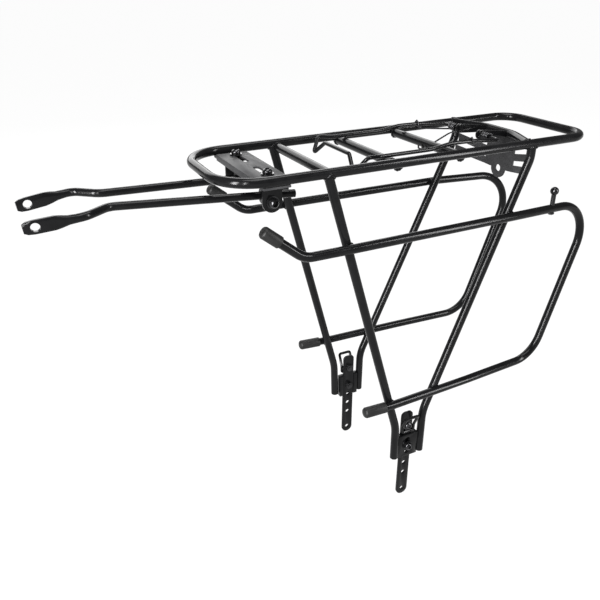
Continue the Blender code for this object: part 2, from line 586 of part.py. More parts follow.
# ------------------------------------------------------------------- feet
for nm, s in SIDES:
    x0, x1 = FLEG_END[0] + ROD_R + GAP, RLEG_END[0] - ROD_R - GAP
    zt_b, zb_b = -346.0, -379.5
    yo, yi = 78.4, STRAP_Y + STRAP_T / 2 + GAP       # outer face, strap face
    yr = STRAP_Y - STRAP_T / 2 - 0.6                  # inner face of the guide ribs
    sx0, sx1 = STRAP_X - STRAP_W / 2 - GAP, STRAP_X + STRAP_W / 2 + GAP
    bm = bmesh.new()
    outline = [(x0, s * yo), (x1, s * yo), (x1, s * yi), (x1 - 0.5, s * (yi - 0.4)), (x1 - 0.5, s * yr),
               (sx1, s * yr), (sx1, s * yi), (sx0, s * yi), (sx0, s * yr), (x0, s * yr)]
    prism(bm, outline, zt_b, zb_b, 'Z')
    foot = add(nm + "_foot_bracket", bm, COAT, smooth=False)
    bm = bmesh.new()
    prism(bm, slot_outline(STRAP_X, -375.1, -349.9, 6.6, 6), s * (yi - 4), s * (yo + 4), 'Y')
    cut(foot, bm)
    # perforated strap
    pv = (STRAP_X, s * STRAP_Y, SLIDE_BOLT_Z)
    r = STRAP_W / 2
    rc = 5.0
    ol = [(STRAP_X - r + rc + rc * math.cos(math.radians(a)), STRAP_TOP - rc + rc * math.sin(math.radians(a))) for a in (180, 150, 120, 90)] + \
         [(STRAP_X + r - rc + rc * math.cos(math.radians(a)), STRAP_TOP - rc + rc * math.sin(math.radians(a))) for a in (90, 60, 30, 0)] + \
         arc(STRAP_X, STRAP_BOT + r, r, 0, -180, 10)
    bm = bmesh.new()
    prism(bm, ol, s * (STRAP_Y - STRAP_T / 2), s * (STRAP_Y + STRAP_T / 2), 'Y')
    strap = add(nm + "_foot_strap", bm, COAT, pivot=pv)
    bm = bmesh.new()
    for z in STRAP_HOLES:
        prism(bm, circle(STRAP_X, z, 2.8, 12), s * (STRAP_Y - 6), s * (STRAP_Y + 6), 'Y')
    for z in (HOOK_BOLT_Z, SLIDE_BOLT_Z):
        prism(bm, circle(STRAP_X, z, 3.0, 12), s * (STRAP_Y - 6), s * (STRAP_Y + 6), 'Y')
    cut(strap, bm)
    # hook loop for a strap's end: bent wire rectangle held under its bolt
    y_in = STRAP_Y + STRAP_T / 2 + GAP
    hr = 1.9
    yb_, yt_ = y_in + hr, y_in + hr + 8.0
    zl, zh = HOOK_BOLT_Z - 9.0, HOOK_BOLT_Z + 17.0
    hx0, hx1 = STRAP_X - 8.4, STRAP_X + 8.4
    P = fillet([(hx0, s * yb_, zl), (hx1, s * yb_, zl), (hx1, s * (yb_ + 0.3), zl + 9), (hx1, s * yt_, zh),
                (hx0, s * yt_, zh), (hx0, s * (yb_ + 0.3), zl + 9)], [2.4, 2.4, 12, 2.4, 2.4, 12], 30, closed=True)
    rod(nm + "_hook_loop", P, COAT, r=hr, sides=8, closed=True, pivot=pv)
    # hook bolt: clamps a clip plate that presses the loop on the strap
    bm = bmesh.new()
    washer(bm, (STRAP_X, s * y_in, HOOK_BOLT_Z), (0, s, 0), 3.1, 6.3, 2.2)
    add(nm + "_hook_washer", bm, BOLT, pivot=pv)
    bm = bmesh.new()
    dome_head(bm, (STRAP_X, s * (y_in + 2.2 + GAP), HOOK_BOLT_Z), (0, s, 0), 4.9, 3.4, 2.7, 11.0, 12)
    add(nm + "_hook_bolt", bm, BOLT, pivot=pv)
    bm = bmesh.new()
    hex_nut(bm, (STRAP_X, s * (STRAP_Y - STRAP_T / 2 - GAP), HOOK_BOLT_Z), (0, -s, 0), 9.0, 3.0, 4.0)
    add(nm + "_hook_nut", bm, BOLT, pivot=pv)
    # slide bolt through the bracket's slot
    bm = bmesh.new()
    washer(bm, (STRAP_X, s * (yo + GAP), SLIDE_BOLT_Z), (0, s, 0), 3.1, 6.3, 1.2)
    add(nm + "_strap_washer", bm, BOLT, pivot=pv)
    bm = bmesh.new()
    dome_head(bm, (STRAP_X, s * (yo + GAP + 1.2 + GAP), SLIDE_BOLT_Z), (0, s, 0), 5.2, 4.4, 2.7, 14.0, 12)
    add(nm + "_strap_bolt", bm, BOLT, pivot=pv)
    bm = bmesh.new()
    hex_nut(bm, (STRAP_X, s * (STRAP_Y - STRAP_T / 2 - GAP), SLIDE_BOLT_Z), (0, -s, 0), 9.0, 3.0, 4.0)
    add(nm + "_strap_nut", bm, BOLT, pivot=pv)
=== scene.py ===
# Looks for a bicycle rear luggage carrier: powder-coated rods with weld beads,
# bolts with sockets, torsion springs, rubber caps, studio light and camera.
import json
import math

import bmesh
import bpy
from mathutils import Matrix, Vector


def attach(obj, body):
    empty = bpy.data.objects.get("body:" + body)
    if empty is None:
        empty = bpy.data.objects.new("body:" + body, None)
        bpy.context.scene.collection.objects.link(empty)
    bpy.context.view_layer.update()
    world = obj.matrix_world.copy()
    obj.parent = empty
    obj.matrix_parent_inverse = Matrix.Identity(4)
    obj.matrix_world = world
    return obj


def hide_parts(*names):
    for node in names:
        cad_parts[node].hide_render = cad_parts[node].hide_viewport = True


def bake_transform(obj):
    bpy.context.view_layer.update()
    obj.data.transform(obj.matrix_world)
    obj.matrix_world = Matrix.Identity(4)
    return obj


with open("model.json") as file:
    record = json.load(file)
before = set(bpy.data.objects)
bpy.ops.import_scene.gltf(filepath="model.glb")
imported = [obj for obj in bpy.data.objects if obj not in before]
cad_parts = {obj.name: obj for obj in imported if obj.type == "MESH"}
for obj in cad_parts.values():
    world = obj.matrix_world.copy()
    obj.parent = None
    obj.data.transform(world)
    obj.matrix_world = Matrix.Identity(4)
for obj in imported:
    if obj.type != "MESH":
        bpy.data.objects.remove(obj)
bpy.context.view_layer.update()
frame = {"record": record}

# ---------------------------------------------------------------- dimensions
ROD_R = 5.0              # frame rods, legs and side rails: 10 mm rod
GAP = 0.3                # clearance between touching pieces
PLAT_L = 448.4           # platform length, rod centre to rod centre
PLAT_W = 67.5            # half width, middle plane to side rod centre
CORNER_F, CORNER_R = 44.0, 27.0
CROSS_X = (110.4, 187.9, 266.9)
CROSS_Z = -3.6                          # cross rods sit lower than the platform rod
BOW_END_X, BOW_MID_X, BOW_MID_Y = 357.5, 373.0, 25.0

FLEG_TOP = (106.3, 66.6)
FLEG_LOW = (197.0, 78.4, -328.0)
FLEG_END = (198.2, 77.6, -375.5)
RLEG_TOP = (362.4, 66.6)
RLEG_BEND = (362.6, 66.3, -17.5)
RLEG_LOW = (237.5, 76.2, -317.5)
RLEG_END = (237.2, 76.4, -377.0)

SIDE_TOP_Z, SIDE_LOW_Z = -77.6, -286.8
SIDE_REAR_X, SIDE_REAR_LOW_X = 478.0, 412.0

STRAP_W, STRAP_T = 16.0, 3.0
STRAP_X, STRAP_Y = 217.0, 72.9
STRAP_TOP, STRAP_BOT = -314.0, -446.0
STRAP_HOLES = (-377.5, -393.5, -409.5, -437.0)
HOOK_BOLT_Z, SLIDE_BOLT_Z = -332.5, -362.5

PLATE_X0, PLATE_X1, PLATE_TOP, PLATE_T = 34.0, 68.0, -0.5, 2.2
SLOT_X, SLOT_Y0, SLOT_Y1, SLOT_W = 52.5, 10.5, 47.5, 6.6
BRK_BOLT_Y = 42.0

STAY_R = 4.0
STAY_DIR = (150.0, 11.6, -7.84)       # runs back, outwards and down
STAY_AT0 = (0.0, 29.4, -20.84)        # the stay's centre line at X = 0
CLAMP_X = 53.0
BRK_HALF = 10.4                         # bracket half width along X
CLAMP_DROP = 2.0                       # clamp bolt below the stay's centre

CLIP_R = 2.2
CLIP_X, CLIP_Z = 328.0, 4.0            # clip pivot axis, parallel to Y
CLIP_Y = 50.5

OX = 147.855                             # centre of the overall length
OZ = 446.0                             # underside of the foot straps
TUBE_N, WIRE_N, THIN_N = 32, 20, 12


def place(p):
    return Vector(((p[0] - OX) / 1000.0, p[1] / 1000.0, (p[2] + OZ) / 1000.0))


def stay_at(x, side):
    t = (x - STAY_AT0[0]) / STAY_DIR[0]
    return Vector((x, side * (STAY_AT0[1] + STAY_DIR[1] * t), STAY_AT0[2] + STAY_DIR[2] * t))


# --------------------------------------------------------------- materials
def nodes_of(m):
    m.use_nodes = True
    nt = m.node_tree
    return nt, nt.nodes.get("Principled BSDF")


def noise(nt, scale, detail=3.0, rough=0.55):
    tc = nt.nodes.new("ShaderNodeTexCoord")
    n = nt.nodes.new("ShaderNodeTexNoise")
    n.inputs["Scale"].default_value = scale
    n.inputs["Detail"].default_value = detail
    n.inputs["Roughness"].default_value = rough
    nt.links.new(tc.outputs["Object"], n.inputs["Vector"])
    return n


def ramp(nt, src, lo, hi, p0=0.35, p1=0.65):
    r = nt.nodes.new("ShaderNodeValToRGB")
    r.color_ramp.elements[0].position = p0
    r.color_ramp.elements[1].position = p1
    c = (lambda v: (v[0], v[1], v[2], 1.0)) if isinstance(lo, tuple) else (lambda v: (v, v, v, 1.0))
    r.color_ramp.elements[0].color = c(lo)
    r.color_ramp.elements[1].color = c(hi)
    nt.links.new(src, r.inputs["Fac"])
    return r


def finish_look(name, col_lo, col_hi, rough_lo, rough_hi, metal=0.0, bump_scale=900.0, bump=0.12, dist=0.00004,
                coat=0.0, coat_rough=0.1, patch=35.0, spec=0.5, grain=None):
    """Painted or plated surface: slow colour and gloss drift plus a fine
    orange-peel or wire-drawn grain in the bump."""
    m = bpy.data.materials.new(name)
    nt, b = nodes_of(m)
    drift = noise(nt, patch, 4.0, 0.6)
    fine = noise(nt, bump_scale, 2.0, 0.5)
    c = ramp(nt, drift.outputs["Fac"], col_lo, col_hi)
    nt.links.new(c.outputs["Color"], b.inputs["Base Color"])
    r = ramp(nt, drift.outputs["Fac"], rough_lo, rough_hi, 0.3, 0.7)
    nt.links.new(r.outputs["Color"], b.inputs["Roughness"])
    b.inputs["Metallic"].default_value = metal
    b.inputs["Specular IOR Level"].default_value = spec
    if coat:
        b.inputs["Coat Weight"].default_value = coat
        b.inputs["Coat Roughness"].default_value = coat_rough
    bp = nt.nodes.new("ShaderNodeBump")
    bp.inputs["Strength"].default_value = bump
    bp.inputs["Distance"].default_value = dist
    nt.links.new(fine.outputs["Fac"], bp.inputs["Height"])
    nt.links.new(bp.outputs["Normal"], b.inputs["Normal"])
    return m


COAT = finish_look("black_powder_coat", (0.0024, 0.0024, 0.0026), (0.0042, 0.0042, 0.0045), 0.14, 0.2, 0.0,
                   700.0, 0.06, 0.00003, coat=0.03, coat_rough=0.08, spec=0.1)
PLATE = finish_look("grey_coated_plate", (0.018, 0.018, 0.019), (0.034, 0.034, 0.035), 0.42, 0.55, 0.0,
                    700.0, 0.3, 0.00006, coat=0.02, coat_rough=0.25, spec=0.1)
RUBBER = finish_look("black_rubber", (0.004, 0.004, 0.004), (0.008, 0.008, 0.008), 0.4, 0.55, 0.0,
                     500.0, 0.35, 0.00006, spec=0.18)
BOLT = finish_look("black_zinc", (0.02, 0.02, 0.021), (0.045, 0.045, 0.047), 0.16, 0.28, 0.9,
                   600.0, 0.12, 0.00003)
SPRING = finish_look("spring_steel", (0.02, 0.02, 0.021), (0.04, 0.04, 0.042), 0.2, 0.32, 0.9,
                     500.0, 0.15, 0.00003)
LAMP_PLATE = finish_look("satin_coated_plate", (0.012, 0.012, 0.0125), (0.02, 0.02, 0.021), 0.36, 0.46, 0.0,
                         600.0, 0.3, 0.00006, coat=0.02, coat_rough=0.3, spec=0.15)

HEADS = []
MADE = {}
BODY_OF = {n: b for b, ns in frame["record"]["behaviour"]["bodies"].items() for n in ns}
PRESSED = ("stay_plate", "stay_bracket", "foot_bracket", "foot_strap", "light_bracket", "clip_lug")


def add(name, bm, mat, pivot=None, smooth=True):
    """Turn a millimetre bmesh into the look of the CAD node of that name."""
    bm.transform(Matrix.Translation(Vector((-OX, 0, OZ))))
    bm.transform(Matrix.Scale(0.001, 4))
    bmesh.ops.recalc_face_normals(bm, faces=bm.faces)
    me = bpy.data.meshes.new(name + "_look")
    bm.to_mesh(me)
    bm.free()
    ob = bpy.data.objects.new(name + "_look", me)
    bpy.context.scene.collection.objects.link(ob)
    if name == "rear_light_bracket":
        mat = LAMP_PLATE
    if name == "stay_plate":
        mat = PLATE
    me.materials.append(mat)
    MADE[name] = ob
    while HEADS:
        # hexagon socket in a bolt head
        o, ax, r, h = HEADS.pop()
        t = bmesh.new()
        c = o + ax * h
        k = 2 if abs(ax.z) > 0.9 else 1
        flat = [c[i] for i in range(3) if i != k]
        ol = [(flat[0] + r * 0.5 * math.cos(math.pi / 3 * q), flat[1] + r * 0.5 * math.sin(math.pi / 3 * q)) for q in range(6)]
        prism(t, ol, (c - ax * h * 0.55)[k], (c + ax * 2)[k], 'XYZ'[k])
        cut(ob, t)
    return ob


def cut(ob, bm, operation='DIFFERENCE'):
    """Boolean the piece with a helper solid given in millimetres, at once."""
    bm.transform(Matrix.Translation(Vector((-OX, 0, OZ))))
    bm.transform(Matrix.Scale(0.001, 4))
    bmesh.ops.recalc_face_normals(bm, faces=bm.faces)
    me = bpy.data.meshes.new("tool")
    bm.to_mesh(me)
    bm.free()
    tool = bpy.data.objects.new("tool", me)
    bpy.context.scene.collection.objects.link(tool)
    m = ob.modifiers.new("bool", 'BOOLEAN')
    m.operation = operation
    m.solver = 'EXACT'
    m.object = tool
    settle(ob)
    bpy.data.objects.remove(tool, do_unlink=True)


def settle(ob):
    """Apply the modifiers of ob."""
    bpy.context.view_layer.update()
    dg = bpy.context.evaluated_depsgraph_get()
    me = bpy.data.meshes.new_from_object(ob.evaluated_get(dg))
    ob.modifiers.clear()
    old = ob.data
    ob.data = me
    bpy.data.meshes.remove(old)


# ------------------------------------------------------------ path helpers
def fillet(points, radii, step=15.0, closed=False):
    """Polyline with its inner corners rounded to the given radii."""
    step = step / 3.0
    P = [Vector(p) for p in points]
    out = []
    n = len(P)
    for i in range(n):
        if not closed and i in (0, n - 1):
            out.append(P[i])
            continue
        a, p, b = P[i - 1], P[i], P[(i + 1) % n]
        u, v = (p - a).normalized(), (b - p).normalized()
        th = u.angle(v)
        r = radii[i] if isinstance(radii, (list, tuple)) else radii
        if th < 1e-4 or r <= 0:
            out.append(p)
            continue
        t = r * math.tan(th / 2)
        nrm = (v - u * math.cos(th)).normalized()
        s = p - u * t
        c = s + nrm * r
        k = max(2, int(math.ceil(math.degrees(th) / step)))
        for j in range(k + 1):
            f = th * j / k
            out.append(c - nrm * r * math.cos(f) + u * r * math.sin(f))
    return out


def frames(P, closed, ends=(None, None)):
    n = len(P)
    T = []
    for i in range(n):
        if closed:
            a, b = P[i - 1], P[(i + 1) % n]
            t = (P[i] - a).normalized() + (b - P[i]).normalized()
        elif i == 0:
            t = P[1] - P[0]
        elif i == n - 1:
            t = P[-1] - P[-2]
        else:
            t = (P[i] - P[i - 1]).normalized() + (P[i + 1] - P[i]).normalized()
        T.append(t.normalized())
    if ends[0]:
        T[0] = Vector(ends[0])
    if ends[1]:
        T[-1] = Vector(ends[1])
    up = Vector((0, 0, 1)) if abs(T[0].z) < 0.9 else Vector((0, 1, 0))
    nrm = (up - T[0] * up.dot(T[0])).normalized()
    F = []
    for i in range(n):
        nrm = (nrm - T[i] * nrm.dot(T[i])).normalized()
        F.append((nrm.copy(), T[i].cross(nrm)))
    return F


def sweep(bm, P, r, sides, closed=False, shape=None, ends=(None, None)):
    """Round rod along P. shape(i) may give (half along n, half along b, power);
    ends give the directions square to which the two ends are cut."""
    F = frames(P, closed, ends)
    rings = []
    for i, p in enumerate(P):
        n, b = F[i]
        ra, rb, pw = shape(i) if shape else (r, r, 1.0)
        ring = []
        for k in range(sides):
            a = 2 * math.pi * (k + 0.5) / sides
            ca, sa = math.cos(a), math.sin(a)
            ca = math.copysign(abs(ca) ** pw, ca)
            sa = math.copysign(abs(sa) ** pw, sa)
            ring.append(bm.verts.new(p + n * (ra * ca) + b * (rb * sa)))
        rings.append(ring)
    m = len(rings)
    for i in range(m if closed else m - 1):
        A, B = rings[i], rings[(i + 1) % m]
        for k in range(sides):
            bm.faces.new((A[k], A[(k + 1) % sides], B[(k + 1) % sides], B[k]))
    if not closed:
        bm.faces.new(list(reversed(rings[0])))
        bm.faces.new(rings[-1])
    return rings


def rod(name, pts, mat, r=ROD_R, sides=TUBE_N, closed=False, pivot=None, shape=None, ends=(None, None)):
    bm = bmesh.new()
    sweep(bm, pts, r, sides, closed, shape, ends)
    return add(name, bm, mat, pivot)


def turned(bm, origin, axis, profile, sides=16):
    """Solid of revolution. profile: (distance along axis, radius) with radius
    0 allowed only at its ends; a closed ring profile when it never is 0."""
    sides = sides * 3
    ax = Vector(axis).normalized()
    up = Vector((0, 0, 1)) if abs(ax.z) < 0.9 else Vector((1, 0, 0))
    n = (up - ax * up.dot(ax)).normalized()
    b = ax.cross(n)
    o = Vector(origin)
    rows = []
    for h, r in profile:
        if r == 0:
            rows.append([bm.verts.new(o + ax * h)])
        else:
            rows.append([bm.verts.new(o + ax * h + n * (r * math.cos(2 * math.pi * (k + 0.5) / sides))
                                      + b * (r * math.sin(2 * math.pi * (k + 0.5) / sides))) for k in range(sides)])
    ring = profile[0][1] != 0 and profile[-1][1] != 0
    cnt = len(rows) if ring else len(rows) - 1
    for i in range(cnt):
        A, B = rows[i], rows[(i + 1) % len(rows)]
        for k in range(sides):
            k2 = (k + 1) % sides
            if len(A) == 1:
                bm.faces.new((A[0], B[k], B[k2]))
            elif len(B) == 1:
                bm.faces.new((A[k], B[0], A[k2]))
            else:
                bm.faces.new((A[k], B[k], B[k2], A[k2]))


def prism(bm, outline, a0, a1, axis):
    """Extrude a closed 2-D outline between two stations along X, Y or Z.
    outline holds the other two coordinates in X, Y, Z order."""
    def pt(q, a):
        if axis == 'X':
            return (a, q[0], q[1])
        if axis == 'Y':
            return (q[0], a, q[1])
        return (q[0], q[1], a)
    A = [bm.verts.new(pt(q, a0)) for q in outline]
    B = [bm.verts.new(pt(q, a1)) for q in outline]
    n = len(outline)
    bm.faces.new(list(reversed(A)))
    bm.faces.new(B)
    for k in range(n):
        bm.faces.new((A[k], A[(k + 1) % n], B[(k + 1) % n], B[k]))


def box(bm, lo, hi):
    prism(bm, [(lo[0], lo[1]), (hi[0], lo[1]), (hi[0], hi[1]), (lo[0], hi[1])], lo[2], hi[2], 'Z')


def arc(cx, cy, r, a0, a1, n):
    n = n * 3
    return [(cx + r * math.cos(math.radians(a0 + (a1 - a0) * i / n)),
             cy + r * math.sin(math.radians(a0 + (a1 - a0) * i / n))) for i in range(n + 1)]


def slot_outline(cx, y0, y1, w, n=6):
    """Long hole along the second coordinate with round ends."""
    r = w / 2
    return arc(cx, y1 - r, r, 0, 180, n) + arc(cx, y0 + r, r, 180, 360, n)


def circle(cx, cy, r, n=16):
    n = n * 3
    return [(cx + r * math.cos(2 * math.pi * (k + 0.5) / n), cy + r * math.sin(2 * math.pi * (k + 0.5) / n)) for k in range(n)]


def dome_head(bm, origin, axis, r, h, shank_r, shank_l, sides=16, n=12):
    HEADS.append((Vector(origin), Vector(axis).normalized(), r, h))
    """Button head standing on origin along axis, shank running the other way."""
    prof = [(-shank_l, 0), (-shank_l, shank_r), (0.0, shank_r), (0.0, r), (h * 0.25, r)]
    for i in range(1, n):
        a = math.pi / 2 * i / n
        prof.append((h * 0.25 + h * 0.75 * math.sin(a), r * math.cos(a)))
    prof.append((h, 0))
    turned(bm, origin, axis, prof, sides)


def washer(bm, origin, axis, ri, ro, t, sides=16):
    turned(bm, origin, axis, [(0, ri), (0, ro), (t, ro), (t, ri)], sides)


def hex_nut(bm, origin, axis, af, ri, h):
    """Hexagon nut with a round bore, six flats and a chamfered outer face."""
    ax = Vector(axis).normalized()
    up = Vector((0, 0, 1)) if abs(ax.z) < 0.9 else Vector((1, 0, 0))
    n = (up - ax * up.dot(ax)).normalized()
    b = ax.cross(n)
    o = Vector(origin)
    ro = af / math.sqrt(3)
    sides = 36

    def hexr(a):
        s = math.radians(30)
        m = (a + s) % (2 * s) - s
        return (af / 2) / math.cos(m)
    rows = []
    for h0, kind in ((0, 'i'), (0, 'o'), (h * 0.82, 'o'), (h, 'c'), (h, 'i')):
        row = []
        for k in range(sides):
            a = 2 * math.pi * k / sides
            if kind == 'i':
                r = ri
            elif kind == 'o':
                r = hexr(a)
            else:
                r = min(hexr(a), ro * 0.88)
            row.append(bm.verts.new(o + ax * h0 + n * (r * math.cos(a)) + b * (r * math.sin(a))))
        rows.append(row)
    for i in range(5):
        A, B = rows[i], rows[(i + 1) % 5]
        for k in range(sides):
            k2 = (k + 1) % sides
            bm.faces.new((A[k], B[k], B[k2], A[k2]))


SIDES = (("left", -1), ("right", 1))
WELDS = []

# ---------------------------------------------------------------- platform
loop = fillet([(0, -PLAT_W, 0), (PLAT_L, -PLAT_W, 0), (PLAT_L, PLAT_W, 0), (0, PLAT_W, 0)],
              [CORNER_F, CORNER_R, CORNER_R, CORNER_F], 15, closed=True)
rod("platform_loop", loop, COAT, closed=True)

inner = PLAT_W - ROD_R - GAP
for nm, x in zip(("front_cross_rod", "middle_cross_rod", "third_cross_rod"), CROSS_X):
    rod(nm, [Vector((x, -inner - 1.6, CROSS_Z)), Vector((x, inner + 1.6, CROSS_Z))], COAT)
    for k in (-1, 1):
        WELDS.append(((x, k * PLAT_W, 0), (0, -k, 0), (1, 0, 0), (0, 0, CROSS_Z)))
bow = fillet([(BOW_END_X, -inner, 0), (BOW_MID_X, -BOW_MID_Y, 0), (BOW_MID_X, BOW_MID_Y, 0), (BOW_END_X, inner, 0)],
             [0, 55, 55, 0], 8)
dv = (bow[0] - bow[1]).normalized()
bow = [bow[0] + dv * 5.5] + bow[1:-1] + [bow[-1] + Vector((dv.x, -dv.y, 0)) * 5.5]
rod("bowed_rear_rod", bow, COAT)
for k in (-1, 1):
    WELDS.append(((BOW_END_X - 2.2, k * PLAT_W, 0), (-dv.x, -k * abs(dv.y), 0), (1, 0, 0), (0, 0, 0)))

# -------------------------------------------------------------- side rails
CAP_R = 6.4
RAIL_PATHS = {}
RAIL_FULL = {}
LEG_PATHS = {}
PIN = (401.0, -74.2, -79.2)
UP_TIP, LOW_TIP = Vector((30.5, 76.3, -43.0)), Vector((146.0, 85.4, -284.6))
UP_P0 = Vector((73.5, 79.4, SIDE_TOP_Z))
for nm, s in SIDES:
    def m(v):
        return Vector((v[0], s * v[1], v[2]))
    d_up = (UP_P0 - UP_TIP).normalized()
    d_low = (Vector((185.0, 84.4, SIDE_LOW_Z)) - LOW_TIP).normalized()
    start = UP_TIP + d_up * 3.3
    end = LOW_TIP + d_low * 3.3
    pts = [m(start), m(UP_P0), m((127.0, 80.1, SIDE_TOP_Z)), m((345.0, 78.2, SIDE_TOP_Z - 0.4)),
           m((SIDE_REAR_X, 68.5, SIDE_TOP_Z - 4.0)), m((SIDE_REAR_LOW_X, 73.0, SIDE_LOW_Z)),
           m((300.0, 79.8, SIDE_LOW_Z)), m((248.0, 82.0, SIDE_LOW_Z)), m((185.0, 84.4, SIDE_LOW_Z)), m(end)]
    rr = [0, 27, 0, 220, 45, 40, 300, 0, 0, 0]
    path = fillet(pts, rr, 15)
    RAIL_PATHS[nm] = [[m((100.0, 79.85, SIDE_TOP_Z)), m((127.0, 80.1, SIDE_TOP_Z)), m((318.0, 78.44, SIDE_TOP_Z - 0.35)), m((352.0, 77.9, SIDE_TOP_Z - 0.5))],
                      [m((160.0, 84.85, SIDE_LOW_Z + 1.35)), m((185.0, 84.4, SIDE_LOW_Z)), m((248.0, 82.0, SIDE_LOW_Z)), m((275.0, 80.86, SIDE_LOW_Z))]]
    RAIL_FULL[nm] = path
    rail = rod(nm + "_side_rail", path, COAT)
    if s < 0:
        bm = bmesh.new()
        turned(bm, (PIN[0], PIN[1], PIN[2] - 12), (0, 0, 1), [(0, 0), (0, 3.1), (24, 3.1), (24, 0)], 12)
        cut(rail, bm)
    for which, tip, dr, ln in (("upper", UP_TIP, d_up, 22.0), ("lower", LOW_TIP, d_low, 29.0)):
        bm = bmesh.new()
        turned(bm, m(tip), m(dr), [(0, 0), (0, CAP_R * 0.55), (1.0, CAP_R * 0.86), (2.6, CAP_R),
                                   (ln, CAP_R), (ln, ROD_R + GAP), (3.0, ROD_R + GAP), (3.0, 0)], 16)
        add("%s_%s_end_cap" % (nm, which), bm, RUBBER)

# -------------------------------------------------------------------- legs
for nm, s in SIDES:
    p = fillet([(FLEG_TOP[0], s * FLEG_TOP[1], -ROD_R - GAP), (FLEG_LOW[0], s * FLEG_LOW[1], FLEG_LOW[2]),
                (FLEG_END[0], s * FLEG_END[1], FLEG_END[2])], [0, 70, 0], 5)
    fp = [Vector(q) for q in p]
    p = [fp[0] + (fp[0] - fp[1]).normalized() * 4.0] + fp
    fleg = rod(nm + "_front_leg", p, COAT, ends=(None, (0, 0, -1)))
    p = fillet([(RLEG_TOP[0], s * RLEG_TOP[1], -ROD_R - GAP), (RLEG_BEND[0], s * RLEG_BEND[1], RLEG_BEND[2]),
                (RLEG_LOW[0], s * RLEG_LOW[1], RLEG_LOW[2]), (RLEG_END[0], s * RLEG_END[1], RLEG_END[2])],
               [0, 24, 60, 0], 6)
    rp = [Vector(q) for q in p]
    p = [rp[0] + (rp[0] - rp[1]).normalized() * 4.0] + rp
    rleg = rod(nm + "_rear_leg", p, COAT, ends=(None, (0, 0, -1)))
    LEG_PATHS[nm] = [fp, rp]
    for q0, q1 in ((fp[0], fp[1]), (rp[0], rp[1])):
        dd = (q0 - q1).normalized()
        WELDS.append(((q0.x + dd.x * 5.3, s * PLAT_W, 0), tuple(-dd), (1, 0, 0), (0, 0, 0)))

# ball-headed pin through the left upper rail
bm = bmesh.new()
prof = [(-ROD_R - 2.6, 0), (-ROD_R - 2.6, 2.6), (-ROD_R - 1.6, 3.9), (-ROD_R - 0.4, 3.9), (-ROD_R - 0.4, 2.75),
        (16.6, 2.75)]
ball_c, ball_r = 21.0, 5.0
a0 = math.asin(2.75 / ball_r)
for i in range(0, 7):
    a = a0 + (math.pi - a0) * i / 6
    if i < 6:
        prof.append((ball_c - ball_r * math.cos(a), ball_r * math.sin(a)))
prof.append((ball_c + ball_r, 0))
turned(bm, PIN, (0, 0, 1), prof, 12)
add("ball_pin", bm, BOLT)

# -------------------------------------------------------------- stay plate
bm = bmesh.new()
zt, zb = PLATE_TOP, PLATE_TOP - PLATE_T
lip = 6.4
prism(bm, [(PLATE_X0, zt), (PLATE_X0, zt - lip), (PLATE_X0 + PLATE_T, zt - lip), (PLATE_X0 + PLATE_T, zb),
           (PLATE_X1 - PLATE_T, zb), (PLATE_X1 - PLATE_T, zt - lip), (PLATE_X1, zt - lip), (PLATE_X1, zt)],
      -52.5, 52.5, 'Y')
plate = add("stay_plate", bm, PLATE, smooth=False)
for s in (-1, 1):
    tab_top = -ROD_R - 0.4
    bm = bmesh.new()
    outl = [(s * 50, zt - 0.2), (s * 53.2, zt - 0.2), (s * 59.0, tab_top), (s * 69.0, tab_top),
            (s * 69.0, tab_top - PLATE_T), (s * 58.0, tab_top - PLATE_T), (s * 52.4, zb + 0.2), (s * 50, zb + 0.2)]
    prism(bm, outl, PLATE_X0 + 3.0, PLATE_X1 - 3.0, 'X')
    cut(plate, bm, 'UNION')
for s in (-1, 1):
    bm = bmesh.new()
    y0, y1 = (SLOT_Y0, SLOT_Y1) if s > 0 else (-SLOT_Y1, -SLOT_Y0)
    prism(bm, slot_outline(SLOT_X, y0, y1, SLOT_W), zt + 3, zb - 3, 'Z')
    cut(plate, bm)

